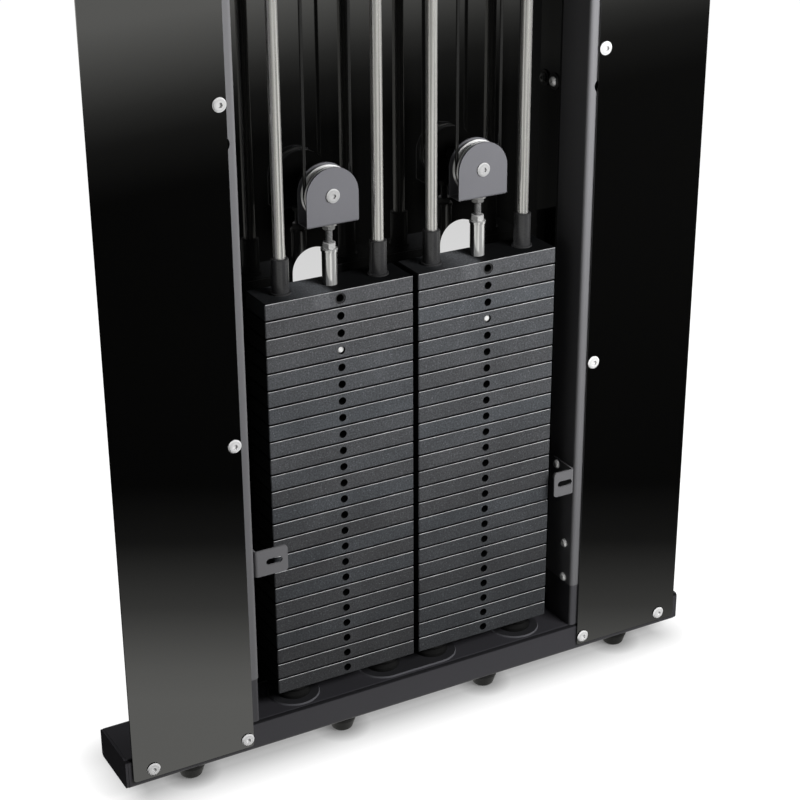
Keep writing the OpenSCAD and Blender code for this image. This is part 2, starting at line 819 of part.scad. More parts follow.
module hex_nut(af, bore, h) {
    difference() {
        intersection() {
            cylinder(d = af / cos(30), h = h, $fn = 6);
            union() {
                cylinder(d1 = af, d2 = af + 4 * lip, h = 2 * lip);
                translate([0, 0, 2 * lip]) cylinder(d = af + 4 * lip, h = h - 4 * lip);
                translate([0, 0, h - 2 * lip]) cylinder(d1 = af + 4 * lip, d2 = af, h = 2 * lip);
            }
        }
        translate([0, 0, -cut]) cylinder(d = bore + 2 * fit_gap, h = h + 2 * cut);
    }
}

module stem_nuts() {
    color([0.8, 0.8, 0.8]) {
        translate([0, 0, head_z]) hex_nut(nut_af, hanger_d, jam_nut_h);
        translate([0, 0, yoke_z - nut_flange_t - nut_h]) hex_nut(nut_af, hanger_d, nut_h + lip);
        translate([0, 0, yoke_z - nut_flange_t]) difference() {
            cylinder(d = nut_flange_d, h = nut_flange_t);
            translate([0, 0, -cut]) cylinder(d = hanger_d + 2 * fit_gap, h = nut_flange_t + 2 * cut);
        }
    }
}

module left_stem_nuts() {
    at_stack(-1) stem_nuts();
}

module right_stem_nuts() {
    at_stack(1) stem_nuts();
}

module hanger_screw() {
    low = head_z - hanger_depth;
    color([0.6, 0.6, 0.6]) translate([0, 0, low])
        cylinder(d = hanger_d, h = yoke_z + yoke_t - low);
}

module left_hanger_screw() {
    at_stack(-1) hanger_screw();
}

module right_hanger_screw() {
    at_stack(1) hanger_screw();
}

// Pulley parts, with the axle along Y through the origin and the yoke closed below
module yoke_section() {
    reach = yoke_drop + yoke_w;
    difference() {
        translate([0, reach / 2 - yoke_drop]) round_rect(yoke_d, reach, yoke_bend_r);
        translate([0, reach / 2 - yoke_drop + yoke_t])
            round_rect(yoke_d - 2 * yoke_t, reach, yoke_bend_r - yoke_t);
    }
}

module yoke_outline() {
    half = yoke_w / 2;
    circle(d = yoke_w, $fn = 96);
    translate([-half, yoke_corner_r - yoke_drop]) square([yoke_w, yoke_drop - yoke_corner_r]);
    translate([yoke_corner_r - half, -yoke_drop]) square([yoke_w - 2 * yoke_corner_r, yoke_drop]);
    for (x = [-1, 1]) translate([x * (half - yoke_corner_r), yoke_corner_r - yoke_drop])
        circle(yoke_corner_r);
}

module yoke(hanger_hole) {
    color([0.5, 0.5, 0.52]) difference() {
        intersection() {
            along_x(yoke_w + 2 * cut) yoke_section();
            along_y(yoke_d + 2 * cut) yoke_outline();
        }
        rotate([90, 0, 0]) cylinder(d = axle_d + 2 * fit_gap, h = yoke_d + 2 * cut, center = true);
        if (hanger_hole) translate([0, 0, -yoke_drop - cut])
            cylinder(d = hanger_d + 2 * fit_gap, h = yoke_t + 2 * cut);
    }
}

module axle() {
    color([0.85, 0.85, 0.86]) {
        translate([0, -yoke_d / 2, 0]) rotate([90, 0, 0])
            button_screw(axle_d + 2 * fit_gap, axle_head_d, axle_head_h, yoke_d + axle_nut_h);
        translate([0, yoke_d / 2, 0]) rotate([-90, 0, 0]) hex_nut(axle_nut_af, axle_d, axle_nut_h);
        for (y = [-1, 1]) translate([0, y * (sheave_w / 2 + seat_gap + spacer_w / 2), 0])
            rotate([90, 0, 0]) difference() {
                cylinder(d = axle_nut_af, h = spacer_w, center = true);
                cylinder(d = axle_d + 2 * fit_gap, h = spacer_w + 2 * cut, center = true);
            }
    }
}

module sheave() {
    rim = sheave_d / 2;
    root = rim - groove_depth;
    hub = axle_nut_af / 2 + lip;
    half = sheave_w / 2;
    profile = [[axle_d / 2 + fit_gap, half], [hub, half], [hub + 2 * lip, sheave_web / 2],
        [root - 5 * lip, sheave_web / 2], [root - 2 * lip, half], [rim - lip, half], [rim, half - lip]];
    color([0.75, 0.75, 0.76]) rotate([90, 0, 0]) rotate_extrude($fn = 96) difference() {
        polygon(concat(profile, [for (i = [len(profile) - 1 : -1 : 0]) [profile[i][0], -profile[i][1]]]));
        translate([pitch_r, 0]) circle(cable_r + fit_gap, $fn = 24);
        polygon([[pitch_r, -cable_r - fit_gap], [rim + cut, -half + 2 * lip], [rim + cut, half - 2 * lip],
            [pitch_r, cable_r + fit_gap]]);
    }
}

// Half a turn of cable round the lower half of a sheave whose axle runs along Y
module cable_half_turn() {
    color([0.08, 0.08, 0.08]) rotate([90, 180, 0]) rotate_extrude(angle = 180, $fn = 96)
        translate([pitch_r, 0]) circle(cable_r, $fn = 24);
}

module at_axle(side) {
    translate([side * stack_spacing / 2, stack_y, axle_z]) children();
}

module at_top_axle(side) {
    translate([side * live_x, top_sheave_y, top_axle_z]) rotate([0, 180, 90]) children();
}

module left_yoke() {
    at_axle(-1) yoke(true);
}

module right_yoke() {
    at_axle(1) yoke(true);
}

module left_axle() {
    at_axle(-1) axle();
}

module right_axle() {
    at_axle(1) axle();
}

module left_sheave() {
    at_axle(-1) sheave();
}

module right_sheave() {
    at_axle(1) sheave();
}

module left_cable_loop() {
    at_axle(-1) cable_half_turn();
}

module right_cable_loop() {
    at_axle(1) cable_half_turn();
}

// Welded to the underside of the top beam
module top_yokes() {
    for (side = [-1, 1]) at_top_axle(side) yoke(false);
}

module top_axles() {
    for (side = [-1, 1]) at_top_axle(side) axle();
}

module left_top_sheave() {
    at_top_axle(-1) sheave();
}

module right_top_sheave() {
    at_top_axle(1) sheave();
}

module top_cable_wraps() {
    for (side = [-1, 1]) at_top_axle(side) cable_half_turn();
}

// Cable anchors: a swaged ferrule, a lock nut and a stud up into the top beam
module cable_anchors() {
    color([0.8, 0.8, 0.8]) for (side = [-1, 1]) translate([side * dead_x, stack_y, top_axle_z]) {
        cylinder(d1 = cable_d + 2 * lip, d2 = ferrule_d, h = 3 * lip);
        translate([0, 0, 3 * lip]) cylinder(d = ferrule_d, h = yoke_drop - nut_h - 3 * lip);
        translate([0, 0, yoke_drop - nut_h]) hex_nut(nut_af, cable_stud_d, nut_h);
        translate([0, 0, yoke_drop - nut_h]) cylinder(d = cable_stud_d, h = nut_h + tube_t + 3 * land);
    }
}

module cable_falls(side) {
    color([0.08, 0.08, 0.08]) for (x = [live_x, dead_x]) translate([side * x, stack_y, axle_z])
        cylinder(d = cable_d, h = top_axle_z - axle_z, $fn = 24);
}

module left_cable_falls() {
    cable_falls(-1);
}

module right_cable_falls() {
    cable_falls(1);
}

// User's end of the cable: it leaves the top pulley in front of the tower and ends in a ball and a hook
module user_cable_run(side) {
    color([0.08, 0.08, 0.08]) translate([side * live_x, user_y, top_axle_z - user_cable])
        cylinder(d = cable_d, h = user_cable, $fn = 24);
}

module left_user_cable() {
    user_cable_run(-1);
}

module right_user_cable() {
    user_cable_run(1);
}

module stop_ball(side) {
    color([0.06, 0.06, 0.06]) translate([side * live_x, user_y, ball_z]) sphere(d = ball_d);
}

module left_stop_ball() {
    stop_ball(-1);
}

module right_stop_ball() {
    stop_ball(1);
}

module snap_hook(side) {
    color([0.8, 0.8, 0.8]) translate([side * live_x, user_y, eye_z]) {
        cylinder(d = eye_d, h = eye_d / 2 + seat_gap);
        sphere(d = eye_d);
        translate([0, 0, -eye_d / 2 - hook_bend_r]) hook_loop();
    }
}

// A snap hook's body, with the gate along its straight side
module hook_loop() {
    gate = hook_straight * gate_share;
    for (turn = [0, 180]) translate([0, 0, turn == 0 ? 0 : -hook_straight]) rotate([90, turn, 0])
        rotate_extrude(angle = 180) translate([hook_bend_r, 0]) circle(d = hook_wire_d);
    translate([-hook_bend_r, 0, -hook_straight]) cylinder(d = hook_wire_d, h = hook_straight);
    translate([hook_bend_r, 0, -hook_straight]) cylinder(d = hook_wire_d, h = hook_straight - gate);
    translate([hook_bend_r, 0, -gate - lip]) cylinder(d = hook_wire_d * gate_share, h = gate + lip);
}

module left_snap_hook() {
    snap_hook(-1);
}

module right_snap_hook() {
    snap_hook(1);
}

// Selector pins, pushed in from the user's side
module selector_pin() {
    face = plate_d / 2;
    tip = 2 * lip;
    color([0.8, 0.8, 0.8]) translate([0, 0, pin_z]) rotate([-90, 0, 0]) {
        translate([0, 0, pin_short - face]) cylinder(d1 = pin_d - 2 * tip, d2 = pin_d, h = tip);
        translate([0, 0, pin_short - face + tip])
            cylinder(d = pin_d, h = plate_d - pin_short - tip + seat_gap);
        translate([0, 0, face + seat_gap]) cylinder(d = pin_head_d, h = pin_head_t - tip);
        translate([0, 0, face + seat_gap + pin_head_t - tip])
            cylinder(d1 = pin_head_d, d2 = pin_head_d - 2 * tip, h = tip);
    }
}

module left_selector_pin() {
    at_stack(-1) selector_pin();
}

module right_selector_pin() {
    at_stack(1) selector_pin();
}

base_beam();
end_plates();
feet();
upright_stubs();
uprights();
spigots();
top_beam();
left_cover();
right_cover();
cover_bolts();
user_shroud();
frame_screws();
shroud_washers();
slotted_brackets();
rod_seats();
bumpers();
guide_rods();
rod_collars();
left_resting_plates();
right_resting_plates();
resting_bushings();
top_yokes();
top_axles();
cable_anchors();
top_cable_wraps();
left_cable_falls();
right_cable_falls();
left_user_cable();
right_user_cable();
left_top_plate();
right_top_plate();
left_lifted_plates();
right_lifted_plates();
left_lifted_bushings();
right_lifted_bushings();
left_guide_sleeves();
right_guide_sleeves();
left_selector_stem();
right_selector_stem();
left_stem_nuts();
right_stem_nuts();
left_hanger_screw();
right_hanger_screw();
left_yoke();
right_yoke();
left_axle();
right_axle();
left_cable_loop();
right_cable_loop();
left_sheave();
right_sheave();
left_top_sheave();
right_top_sheave();
left_selector_pin();
right_selector_pin();
left_stop_ball();
right_stop_ball();
left_snap_hook();
right_snap_hook();
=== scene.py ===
import bpy
import json
import math
from mathutils import Matrix, Vector


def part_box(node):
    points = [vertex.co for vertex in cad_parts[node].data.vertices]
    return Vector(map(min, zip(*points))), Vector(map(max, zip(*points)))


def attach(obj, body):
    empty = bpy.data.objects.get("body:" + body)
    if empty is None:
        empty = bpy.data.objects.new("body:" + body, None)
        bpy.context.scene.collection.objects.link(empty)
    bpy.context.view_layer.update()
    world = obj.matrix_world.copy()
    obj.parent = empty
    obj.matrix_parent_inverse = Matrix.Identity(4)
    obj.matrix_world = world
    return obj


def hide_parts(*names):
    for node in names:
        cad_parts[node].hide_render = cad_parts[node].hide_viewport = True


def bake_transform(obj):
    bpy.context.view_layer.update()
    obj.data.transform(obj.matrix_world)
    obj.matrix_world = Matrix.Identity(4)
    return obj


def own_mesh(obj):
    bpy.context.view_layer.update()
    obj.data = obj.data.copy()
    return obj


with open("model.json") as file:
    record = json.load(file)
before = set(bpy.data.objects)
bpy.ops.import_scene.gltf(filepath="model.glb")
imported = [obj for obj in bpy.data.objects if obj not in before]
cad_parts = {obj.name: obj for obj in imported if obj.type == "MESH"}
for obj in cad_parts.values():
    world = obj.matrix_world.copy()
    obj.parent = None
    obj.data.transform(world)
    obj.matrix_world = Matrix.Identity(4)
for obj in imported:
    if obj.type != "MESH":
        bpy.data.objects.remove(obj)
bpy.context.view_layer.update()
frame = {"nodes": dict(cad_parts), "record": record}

scene = bpy.context.scene


def middle(box):
    return (Vector(box[0]) + Vector(box[1])) / 2


# The tower stands on the floor at z = 0, with its open rear towards -Y. All lengths are in metres.
SIDES = ("left", "right")
REAR_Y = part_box("base_beam")[0][1]
PLATES_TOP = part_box("left_top_plate")[1][2]
PLATE_PITCH = 0.0254
STEM = middle(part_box("right_sheave"))  # the right stem's axis; the left one is its mirror image
SHEAVE_MID_Y = middle(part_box("left_sheave")).y
YOKE_FRONT_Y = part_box("left_yoke")[0][1]
CABLE_R = 0.0025
LOOP_GAP = 0.0001  # between a fall and the loop round the sheave
SCREW_PITCH, SCREW_DEPTH = 0.00175, 0.0009  # hanger screw's thread


# Camera, at the photograph's place
AZIMUTH, ELEVATION, ROLL = -28.9285, 24.2085, -0.3279  # degrees
LENS, SENSOR = 85.088, 36  # mm
CAMERA_X, CAMERA_BACK, CAMERA_Z = -1.20492, 2.1179, 1.61446


def make_camera():
    az, el, roll = (math.radians(v) for v in (AZIMUTH, ELEVATION, ROLL))
    back = Vector((math.sin(az) * math.cos(el), -math.cos(az) * math.cos(el), math.sin(el)))
    right = Vector((0, 0, 1)).cross(back).normalized()
    up = back.cross(right)
    c, s = math.cos(roll), math.sin(roll)
    right, up = right * c + up * s, up * c - right * s
    data = bpy.data.cameras.new("camera")
    data.sensor_width = SENSOR
    data.lens = LENS
    cam = bpy.data.objects.new("camera", data)
    scene.collection.objects.link(cam)
    m = Matrix.Identity(4)
    for i in range(3):
        m[i][0], m[i][1], m[i][2] = right[i], up[i], back[i]
    m.translation = Vector((CAMERA_X, REAR_Y - CAMERA_BACK, CAMERA_Z))
    cam.matrix_world = m
    scene.camera = cam


make_camera()


# Node helpers
class Nodes:
    """A node tree, with short calls for what the materials, the floor and the world use."""

    def __init__(self, tree):
        self.nt = tree
        self.nt.nodes.clear()

    def node(self, kind, **values):
        """A new node; each value goes to the input of that name, or else to the node's own setting."""
        n = self.nt.nodes.new(kind)
        for k, v in values.items():
            if k in n.inputs:
                n.inputs[k].default_value = v
            else:
                setattr(n, k, v)
        return n

    def link(self, a, b):
        self.nt.links.new(a, b)

    def fill(self, inputs, values):
        """Puts a socket, a number or a colour into each of the inputs."""
        for socket, v in zip(inputs, values):
            if isinstance(v, (int, float)):
                socket.default_value = v
            elif isinstance(v, tuple):
                socket.default_value = (*v, 1)
            else:
                self.link(v, socket)

    def math(self, operation, *values):
        n = self.node("ShaderNodeMath", operation=operation)
        self.fill(n.inputs, values)
        return n.outputs[0]

    def times(self, a, b):
        return self.math("MULTIPLY", a, b)

    def plus(self, a, b):
        return self.math("ADD", a, b)

    def minus(self, a, b):
        return self.math("SUBTRACT", a, b)

    def most(self, a, b):
        return self.math("MAXIMUM", a, b)

    def size(self, a):
        return self.math("ABSOLUTE", a)

    def distance(self, a, b):
        """How far the point (a, b) is from (0, 0)."""
        return self.math("SQRT", self.plus(self.times(a, a), self.times(b, b)))

    def vector(self, operation, *values):
        n = self.node("ShaderNodeVectorMath", operation=operation)
        self.fill(n.inputs, values)
        return n.outputs[0]

    def split(self, vector):
        n = self.node("ShaderNodeSeparateXYZ")
        self.link(vector, n.inputs[0])
        return n.outputs

    def span(self, value, low, high, to_low, to_high):
        """to_low where the value is low or past it, to_high where it is high or past it, and straight between."""
        n = self.node("ShaderNodeMapRange")
        self.fill([n.inputs[k] for k in ("Value", "From Min", "From Max", "To Min", "To Max")],
                  (value, low, high, to_low, to_high))
        return n.outputs["Result"]

    def ramp(self, value, stops):
        """A colour ramp; each stop is a place from 0 to 1 with a grey or a colour."""
        n = self.node("ShaderNodeValToRGB")
        el = n.color_ramp.elements
        while len(el) < len(stops):
            el.new(0.5)
        for e, (p, c) in zip(el, stops):
            e.position = p
            e.color = (c, c, c, 1) if isinstance(c, (int, float)) else (*c, 1)
        self.link(value, n.inputs["Fac"])
        return n.outputs["Color"]

    def tint(self, colour, factor):
        """Multiplies a colour by a grey or a colour."""
        n = self.node("ShaderNodeMixRGB", blend_type="MULTIPLY", Fac=1.0)
        self.fill((n.inputs["Color1"], n.inputs["Color2"]), (colour, factor))
        return n.outputs["Color"]

    def mix_shader(self, share, first, second):
        """The first shader where share is 0, and the second where it is 1."""
        n = self.node("ShaderNodeMixShader")
        self.fill(n.inputs, (share, first, second))
        return n.outputs[0]


class Tree(Nodes):
    """A material with one Principled shader, on coordinates of the piece's own CAD frame."""

    def __init__(self, name):
        self.mat = bpy.data.materials.new(name)
        self.mat.use_nodes = True
        super().__init__(self.mat.node_tree)
        self.out = self.node("ShaderNodeOutputMaterial")
        self.bsdf = self.node("ShaderNodeBsdfPrincipled")
        self.link(self.bsdf.outputs["BSDF"], self.out.inputs["Surface"])
        self.place = self.node("ShaderNodeTexCoord").outputs["Object"]

    def placing(self):
        return self.split(self.place)

    def facing(self):
        return self.split(self.node("ShaderNodeNewGeometry").outputs["True Normal"])

    def stretched(self, scale):
        n = self.node("ShaderNodeMapping", Scale=scale)
        self.link(self.place, n.inputs["Vector"])
        return n.outputs["Vector"]

    def noise(self, scale, detail=3.0, rough=0.5, at=None):
        n = self.node("ShaderNodeTexNoise", Scale=scale, Detail=detail, Roughness=rough)
        self.link(at or self.place, n.inputs["Vector"])
        return n.outputs["Fac"]

    def edges(self, down=False):
        """1 on faces that slope upwards (or downwards) between upright and level, such as bevels, and 0 elsewhere."""
        rise = self.facing()["Z"]
        if down:
            rise = self.times(rise, -1.0)
        return self.ramp(rise, [(0.25, 0.0), (0.4, 1.0), (0.88, 1.0), (0.97, 0.0)])

    def feed(self, key):
        """What feeds the shader's input so far."""
        return self.bsdf.inputs[key].links[0].from_socket

    def colour(self, socket):
        self.link(socket, self.bsdf.inputs["Base Color"])

    def reflection_stripes(self, stops):
        """Lengthwise stripes of painted reflection on an upright round bar, each at its place across X, from 0 at -X
        to 1 at +X.
        """
        across = self.span(self.facing()["X"], -1, 1, 0, 1)
        self.colour(self.tint(self.feed("Base Color"), self.ramp(across, stops)))

    def rough(self, socket):
        self.link(socket, self.bsdf.inputs["Roughness"])

    def bump(self, heights, distance=0.0005):
        """Adds bump nodes one after another: (height socket, strength)."""
        last = None
        for height, strength in heights:
            n = self.node("ShaderNodeBump", Strength=strength, Distance=distance)
            self.link(height, n.inputs["Height"])
            if last is not None:
                self.link(last, n.inputs["Normal"])
            last = n.outputs["Normal"]
        self.link(last, self.bsdf.inputs["Normal"])

    def set(self, **values):
        for k, v in values.items():
            self.bsdf.inputs[k.replace("_", " ")].default_value = v


def shade(c, k):
    return tuple(v * k for v in c)


# Kinds of material. Where one takes heights, they are (z, z, tone, tone), for a tone that changes between two heights.
HALF_OPENING = 0.27  # from the middle to the uprights
BEVEL_START = 0.978  # share of a plate's pitch, above which an upward slope is the rim of a bore, not a bevel
# Painted shade on lower bevels and bores' rims:
SLOPE_SHADE = 0.02  # tone of lower bevels and of bores' rims
# grey of the painted highlight on the plates' upper bevels
BEVEL_HIGHLIGHT = (0.50, 0.50, 0.51)
SOFT_EDGE = 0.0001


def powder(name, c, rough, grain=2600, speckle=0.25, bump=0.12, wear=0.06, edge=1.0, level=1.0, ends=1.0, lean=0.0,
           heights=None, specular=0.5):
    """Powder coat; edge, level and ends multiply the tone of upper bevels, level faces and faces towards -X, and
    lean makes the +X half of the tower paler. All four are painted light: edge above 1 is a painted highlight
    and below 1 painted shade on the bevels, level and ends below 1 are painted shade, and lean is painted light
    from the +X side."""
    t = Tree(name)
    fine = t.noise(grain, 2, 0.6)
    broad = t.noise(9, 4, 0.55)
    tone = t.ramp(fine, [(0.3, shade(c, 1 - speckle)), (0.7, shade(c, 1 + speckle))])
    tone = t.tint(tone, t.ramp(broad, [(0.3, 1 - wear), (0.7, 1.0)]))
    if edge != 1:
        tone = t.tint(tone, t.span(t.edges(), 0, 1, 1, edge))
    if level != 1 or ends != 1:
        face = t.facing()
        tone = t.tint(tone, t.span(face["Z"], 0.97, 0.99, 1, level))
        tone = t.tint(tone, t.span(face["X"], -0.8, -0.6, ends, 1))
    if heights:
        tone = t.tint(tone, t.span(t.placing()["Z"], *heights))
    if lean:
        tone = t.tint(tone, t.span(t.placing()["X"], -HALF_OPENING, HALF_OPENING, 1 - lean, 1 + lean))
    t.colour(tone)
    t.rough(t.span(broad, 0.3, 0.7, rough - 0.05, rough + 0.06))
    t.bump([(fine, bump), (t.noise(420, 2), bump * 0.5)])
    t.set(Specular_IOR_Level=specular)
    return t


def plate(name, c, rough):
    """Rough cast coat with sparkle. Each plate has its own tone, darker towards the bottom of the stack as painted
    shade;
    its upper bevels carry a painted highlight, its lower bevels and bores' rims painted shade, its faces that do not
    face along Y are painted dark as shade, and the top plate's level face has a painted sheen between the stem and
    the -X rod."""
    t = Tree(name)
    fine = t.noise(400, 4, 0.7)
    spark = t.noise(640, 1, 0.5)
    long_face = t.ramp(t.size(t.facing()["Y"]), [(0.3, 0.0), (0.6, 1.0)])
    place = t.placing()
    height = t.math("DIVIDE", t.minus(place["Z"], PLATES_TOP), PLATE_PITCH)
    number = t.math("FLOOR", height)  # -1 for the top plate, down to -24
    in_plate = t.math("FRACT", height)
    right = t.math("GREATER_THAN", place["X"], 0.0)
    one = t.node("ShaderNodeTexWhiteNoise", noise_dimensions="1D")
    t.link(t.plus(number, t.times(right, 53.0)), one.inputs["W"])

    tone = t.ramp(fine, [(0.30, shade(c, 0.60)), (0.5, c), (0.70, shade(c, 1.5))])
    tone = t.tint(tone, t.ramp(one.outputs["Value"], [(0.0, (0.94, 0.94, 0.93)), (1.0, (0.99, 1.05, 1.08))]))
    tone = t.tint(tone, t.ramp(t.noise(14, 4, 0.6), [(0.3, 0.84), (0.7, 1.12)]))
    tone = t.tint(tone, t.ramp(spark, [(0.63, 1.0), (0.73, 1.9)]))
    # painted shade: the plates darker towards the bottom of the stack
    tone = t.tint(tone, t.span(number, -24, -3, 0.56, 1))
    # painted sheen on the top plate's level face beside its stem; faces not along Y are painted dark as shade
    beside = t.minus(place["X"], t.span(right, 0, 1, -STEM.x, STEM.x))
    sheen = t.ramp(t.span(beside, -0.09, 0, 0, 1), [(0.0, 0.1), (0.39, 0.6), (0.6, 1.0), (0.8, 1.0), (0.92, 0.0)])
    sheen = t.times(sheen, t.span(number, -2.0, -1.0, 0, 1))
    tone = t.tint(tone, t.most(long_face, t.span(sheen, 0, 1, 0.07, 1.3)))

    # painted highlight on the upper bevels, broken up by noise
    bevel_highlight = t.ramp(t.noise(45, 3, 0.6, t.stretched((1, 1, 12))), [(0.3, 0.45), (0.65, 1.0)])
    bevel_highlight = t.times(bevel_highlight, t.times(t.edges(), long_face))
    bevel_highlight = t.times(bevel_highlight, t.math("LESS_THAN", in_plate, BEVEL_START))
    mix = t.node("ShaderNodeMixRGB")
    t.fill(mix.inputs, (bevel_highlight, tone, BEVEL_HIGHLIGHT))
    # painted shade on the lower bevels and the bores' rims
    inner = t.times(t.edges(), t.math("GREATER_THAN", in_plate, BEVEL_START))
    t.colour(t.tint(mix.outputs["Color"], t.span(t.most(t.edges(True), inner), 0, 1, 1, SLOPE_SHADE)))
    t.rough(t.plus(t.span(fine, 0.3, 0.7, rough - 0.07, rough + 0.08), t.span(long_face, 0, 1, 0.2, 0)))
    t.bump([(fine, 0.5), (spark, 0.3)])
    t.set(Specular_IOR_Level=0.03)
    return t


def gloss(name, c, ior):
    """High-gloss coat with dust and faint upright scratches."""
    t = Tree(name)
    dust = t.noise(1400, 2, 0.7)
    broad = t.noise(3.0, 4, 0.6)
    scratches = t.noise(90, 3, 0.6, t.stretched((1.0, 1.0, 0.05)))
    t.colour(t.ramp(dust, [(0.55, c), (0.9, shade(c, 2.2))]))
    t.rough(t.span(broad, 0.3, 0.75, 0.025, 0.06))
    t.bump([(t.noise(35, 2), 0.012), (scratches, 0.004)])
    t.set(IOR=ior)
    return t


def metal(name, c, rough, grain=(1, 1, 1), scale=600, bump=0.03, spread=0.06, streak=0.06, metallic=1.0,
          heights=None):
    """Bare or plated metal; the grain is the stretch of its lines, and spread and streak are how much they change
    its roughness and tone."""
    t = Tree(name)
    lines = t.noise(scale, 3, 0.6, t.stretched(grain))
    broad = t.noise(14, 3)
    tone = t.tint(t.ramp(broad, [(0.3, shade(c, 0.94)), (0.7, c)]), t.ramp(lines, [(0.35, 1 - streak), (0.65, 1.0)]))
    if heights:
        tone = t.tint(tone, t.span(t.placing()["Z"], *heights))
    t.colour(tone)
    t.rough(t.span(lines, 0.3, 0.7, max(rough - spread / 2, 0.02), rough + spread / 2))
    t.bump([(lines, bump)])
    t.set(Metallic=metallic)
    return t


def button(name, c, rough, metallic, rim_y, heights=None):
    """Zinc button head along Y: pale rim and crown with a duller shoulder between them, and a dark edge behind
    the plane y = rim_y, tones set by how each face turns, so the duller shoulder and the dark edge are painted
    shade; what faces -Y is shaded nearly flat."""
    t = metal(name, c, rough, scale=1500, bump=0.05, spread=0.1, metallic=metallic, heights=heights)
    face = t.facing()
    # painted shade: the shoulder duller than rim and crown, by facing
    rings = t.ramp(t.size(face["Y"]), [(0.35, 0.0), (0.55, 1.0), (0.9, 1.0), (0.95, 0.62), (0.975, 0.62),
                                       (0.995, 0.88)])
    # painted shade: the head's side dark behind its rim
    sides = t.span(t.placing()["Y"], rim_y - SOFT_EDGE, rim_y + SOFT_EDGE, 0.8, 0.03)
    t.colour(t.tint(t.feed("Base Color"), t.most(rings, sides)))
    push = t.node("ShaderNodeCombineXYZ")
    t.link(t.times(t.math("LESS_THAN", face["Y"], -0.4), -2.5), push.inputs["Y"])
    pushed = t.vector("ADD", t.feed("Normal"), push.outputs[0])
    t.link(t.vector("NORMALIZE", pushed), t.bsdf.inputs["Normal"])
    return t


def polymer(name, c, rough, scale=900, bump=0.08, specular=0.5):
    """Rubber, nylon or cable jacket."""
    t = Tree(name)
    fine = t.noise(scale, 3, 0.6)
    broad = t.noise(20, 3)
    t.colour(t.ramp(broad, [(0.3, shade(c, 0.8)), (0.7, shade(c, 1.2))]))
    t.rough(t.span(fine, 0.3, 0.7, rough - 0.08, rough + 0.08))
    t.bump([(fine, bump)])
    t.set(Specular_IOR_Level=specular)
    return t


def sheave_metal():
    """Turned sheave: bright flanks, and rims painted dark as shade, darkest on the flange nearer the rear."""
    t = metal("sheave", (0.98, 0.98, 0.97), 0.20, scale=700, bump=0.04, spread=0.08, metallic=0.2)
    flank = t.ramp(t.size(t.facing()["Y"]), [(0.3, 0.0), (0.6, 1.0)])
    rear = t.math("LESS_THAN", t.placing()["Y"], SHEAVE_MID_Y)
    t.colour(t.tint(t.feed("Base Color"), t.most(flank, t.span(rear, 0, 1, 0.7, 0.12))))
    return t


def screw_metal():
    """Dull zinc with painted shade in the hanger screw's grooves and a painted highlight on its ridges."""
    t = metal("dull_zinc", (0.30, 0.30, 0.30), 0.28, scale=900, bump=0.05, spread=0.1, metallic=0.5)
    place = t.placing()
    out = t.distance(t.minus(t.size(place["X"]), STEM.x), t.minus(place["Y"], STEM.y))
    t.colour(t.tint(t.feed("Base Color"), t.span(out, 0.0043, 0.0048, 0.15, 2.1)))
    return t


UPRIGHT_GRAIN = (1, 1, 0.012)
MATS = {
    # frame_coat: edge, level and ends are painted shade on upper bevels, level faces and faces towards -X, and lean is
    # painted light from +X
    "frame_coat": powder("frame_coat", (0.047, 0.046, 0.052), 0.42, 1900, 0.12, 0.08, edge=0.2, level=0.7, ends=0.3,
                         lean=0.04, specular=0.2),
    # upright_coat: paler higher up (heights) and towards +X (lean), both painted light; ends is painted shade on faces
    # towards -X
    "upright_coat": powder("upright_coat", (0.165, 0.164, 0.171), 0.42, 1900, 0.08, 0.06, ends=0.8, lean=0.03,
                           heights=(0.6, 1.05, 1, 1.2), specular=0.2),
    "gloss_black": gloss("gloss_black", (0.0022, 0.0022, 0.0021), 1.85),
    "plate_coat": plate("plate_coat", (0.082, 0.083, 0.088), 0.42),
    # yoke_coat: edge is a painted highlight on the upper bevels
    "yoke_coat": powder("yoke_coat", (0.160, 0.160, 0.173), 0.38, speckle=0.1, bump=0.06, edge=1.5),
    "chrome": metal("chrome", (0.93, 0.92, 0.90), 0.28, UPRIGHT_GRAIN, 420, 0.05, 0.1, 0.16),
    "zinc": metal("zinc", (0.80, 0.80, 0.79), 0.42, scale=1500, bump=0.05, spread=0.1, metallic=0.65),
    "machined": metal("machined", (0.96, 0.96, 0.96), 0.20, scale=700, bump=0.04, spread=0.08, metallic=0.2),
    "black_rubber": polymer("black_rubber", (0.010, 0.010, 0.010), 0.6, specular=0.2),
    "black_nylon": polymer("black_nylon", (0.032, 0.032, 0.033), 0.30, bump=0.03),
    "cable_jacket": polymer("cable_jacket", (0.007, 0.007, 0.007), 0.16, 500, 0.02),
    "black_steel": powder("black_steel", (0.012, 0.012, 0.012), 0.35),
}

# Pieces that differ from their slot's material
SCREW = screw_metal()
PIN_TIP = metal("bright_pin", (0.95, 0.95, 0.94), 0.42, scale=900, spread=0.08, metallic=0.2)
# stem_chrome: lengthwise stripes of painted reflection
STEM_CHROME = metal("stem_chrome", (0.95, 0.95, 0.94), 0.13, UPRIGHT_GRAIN, 600, 0.04, 0.08, 0.35, metallic=0.6)
STEM_CHROME.reflection_stripes([(0.0, 0.10), (0.07, 0.10), (0.10, 1.0), (0.16, 0.78), (0.30, 0.86), (0.36, 1.0), (0.42, 0.95),
                   (0.50, 0.80), (0.60, 0.95), (0.74, 1.0), (0.80, 0.25), (1.0, 0.20)])
